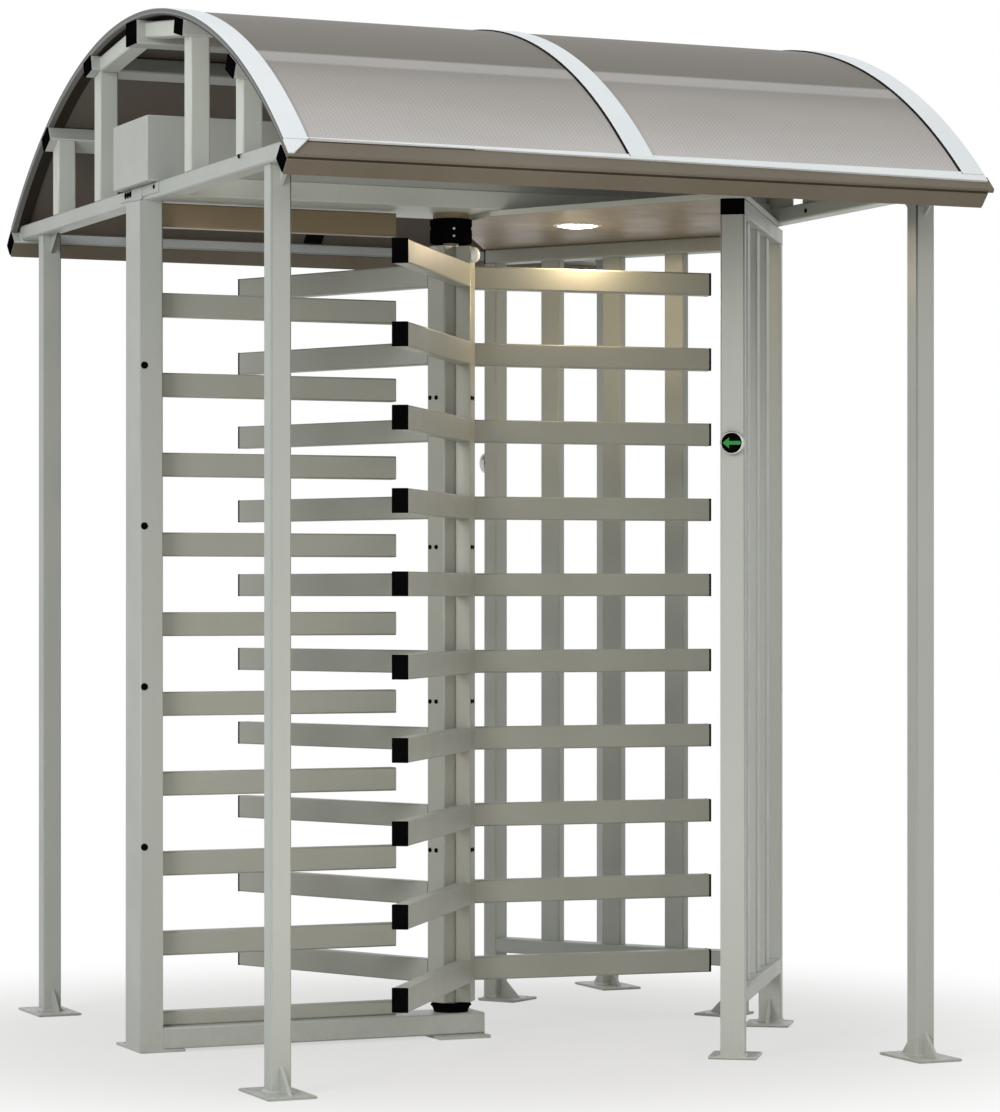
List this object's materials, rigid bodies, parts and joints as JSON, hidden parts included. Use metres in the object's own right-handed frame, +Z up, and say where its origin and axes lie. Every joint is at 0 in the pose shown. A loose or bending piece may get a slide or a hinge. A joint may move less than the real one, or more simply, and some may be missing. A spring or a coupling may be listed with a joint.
{
  "type": "full height turnstile",
  "caption": "Full-height turnstile: a three-wing barred rotor between a fixed comb and an angled cage, under a barrel-vault canopy.",
  "frame": {"origin": "on the floor at the rotor's axis, in the underside of the rotor's foot plate", "axes": "+Z up along the rotor's axis, +X from the fixed comb towards the cage, people walk through along Y"},
  "size_m": [1.818, 2.2968, 2.5928],
  "materials": {
    "powder_coat": "semi-gloss light grey powder coat on galvanised steel tube",
    "black_plastic": "moulded black plastic",
    "roof_sheet": "bronze-tinted multiwall plastic sheet",
    "white_trim": "white coated cover strip",
    "brown_gutter": "brown-grey coated gutter profile",
    "lamp_lens": "frosted warm lamp lens"
  },
  "bodies": {
    "frame": {"comb_post": "powder_coat", "comb_bars": "powder_coat", "base_rail": "powder_coat", "rotor_foot": "powder_coat", "bottom_bearing": "black_plastic", "top_bearing": "black_plastic", "header_beam": "powder_coat", "drive_housing": "powder_coat", "ceiling_tray": "powder_coat", "ceiling_lamp": "lamp_lens", "cage_post_front_outer": "powder_coat", "cage_post_front_inner": "powder_coat", "cage_post_back_inner": "powder_coat", "cage_post_back_outer": "powder_coat", "cage_bars_front": "powder_coat", "cage_bars_back": "powder_coat", "cage_bottom_rail_front": "powder_coat", "cage_bottom_rail_back": "powder_coat", "cage_top_rail_front": "powder_coat", "cage_top_rail_back": "powder_coat", "cage_rail_caps": "black_plastic", "indicator_front": "black_plastic", "indicator_back": "black_plastic", "canopy_post_front_left": "powder_coat", "canopy_post_front_right": "powder_coat", "canopy_post_back_left": "powder_coat", "canopy_post_back_right": "powder_coat", "end_beam_left": "powder_coat", "end_beam_right": "powder_coat", "struts_left": "powder_coat", "struts_right": "powder_coat", "purlins": "powder_coat", "purlin_caps": "black_plastic", "eave_front": "brown_gutter", "eave_back": "brown_gutter", "roof_sheet_left": "roof_sheet", "roof_sheet_right": "roof_sheet", "arch_strips": "white_trim", "arch_gaskets": "black_plastic"},
    "rotor": {"rotor_core": "powder_coat", "rotor_uprights": "powder_coat", "wing_bars_1": "powder_coat", "wing_bars_2": "powder_coat", "wing_bars_3": "powder_coat", "wing_caps": "black_plastic"}
  },
  "joints": [
    {"name": "rotor_spin", "type": "hinge", "parent": "frame", "child": "rotor", "pos_m": [0, 0, 0], "axis": [0, 0, 1], "continuous": true}
  ]
}
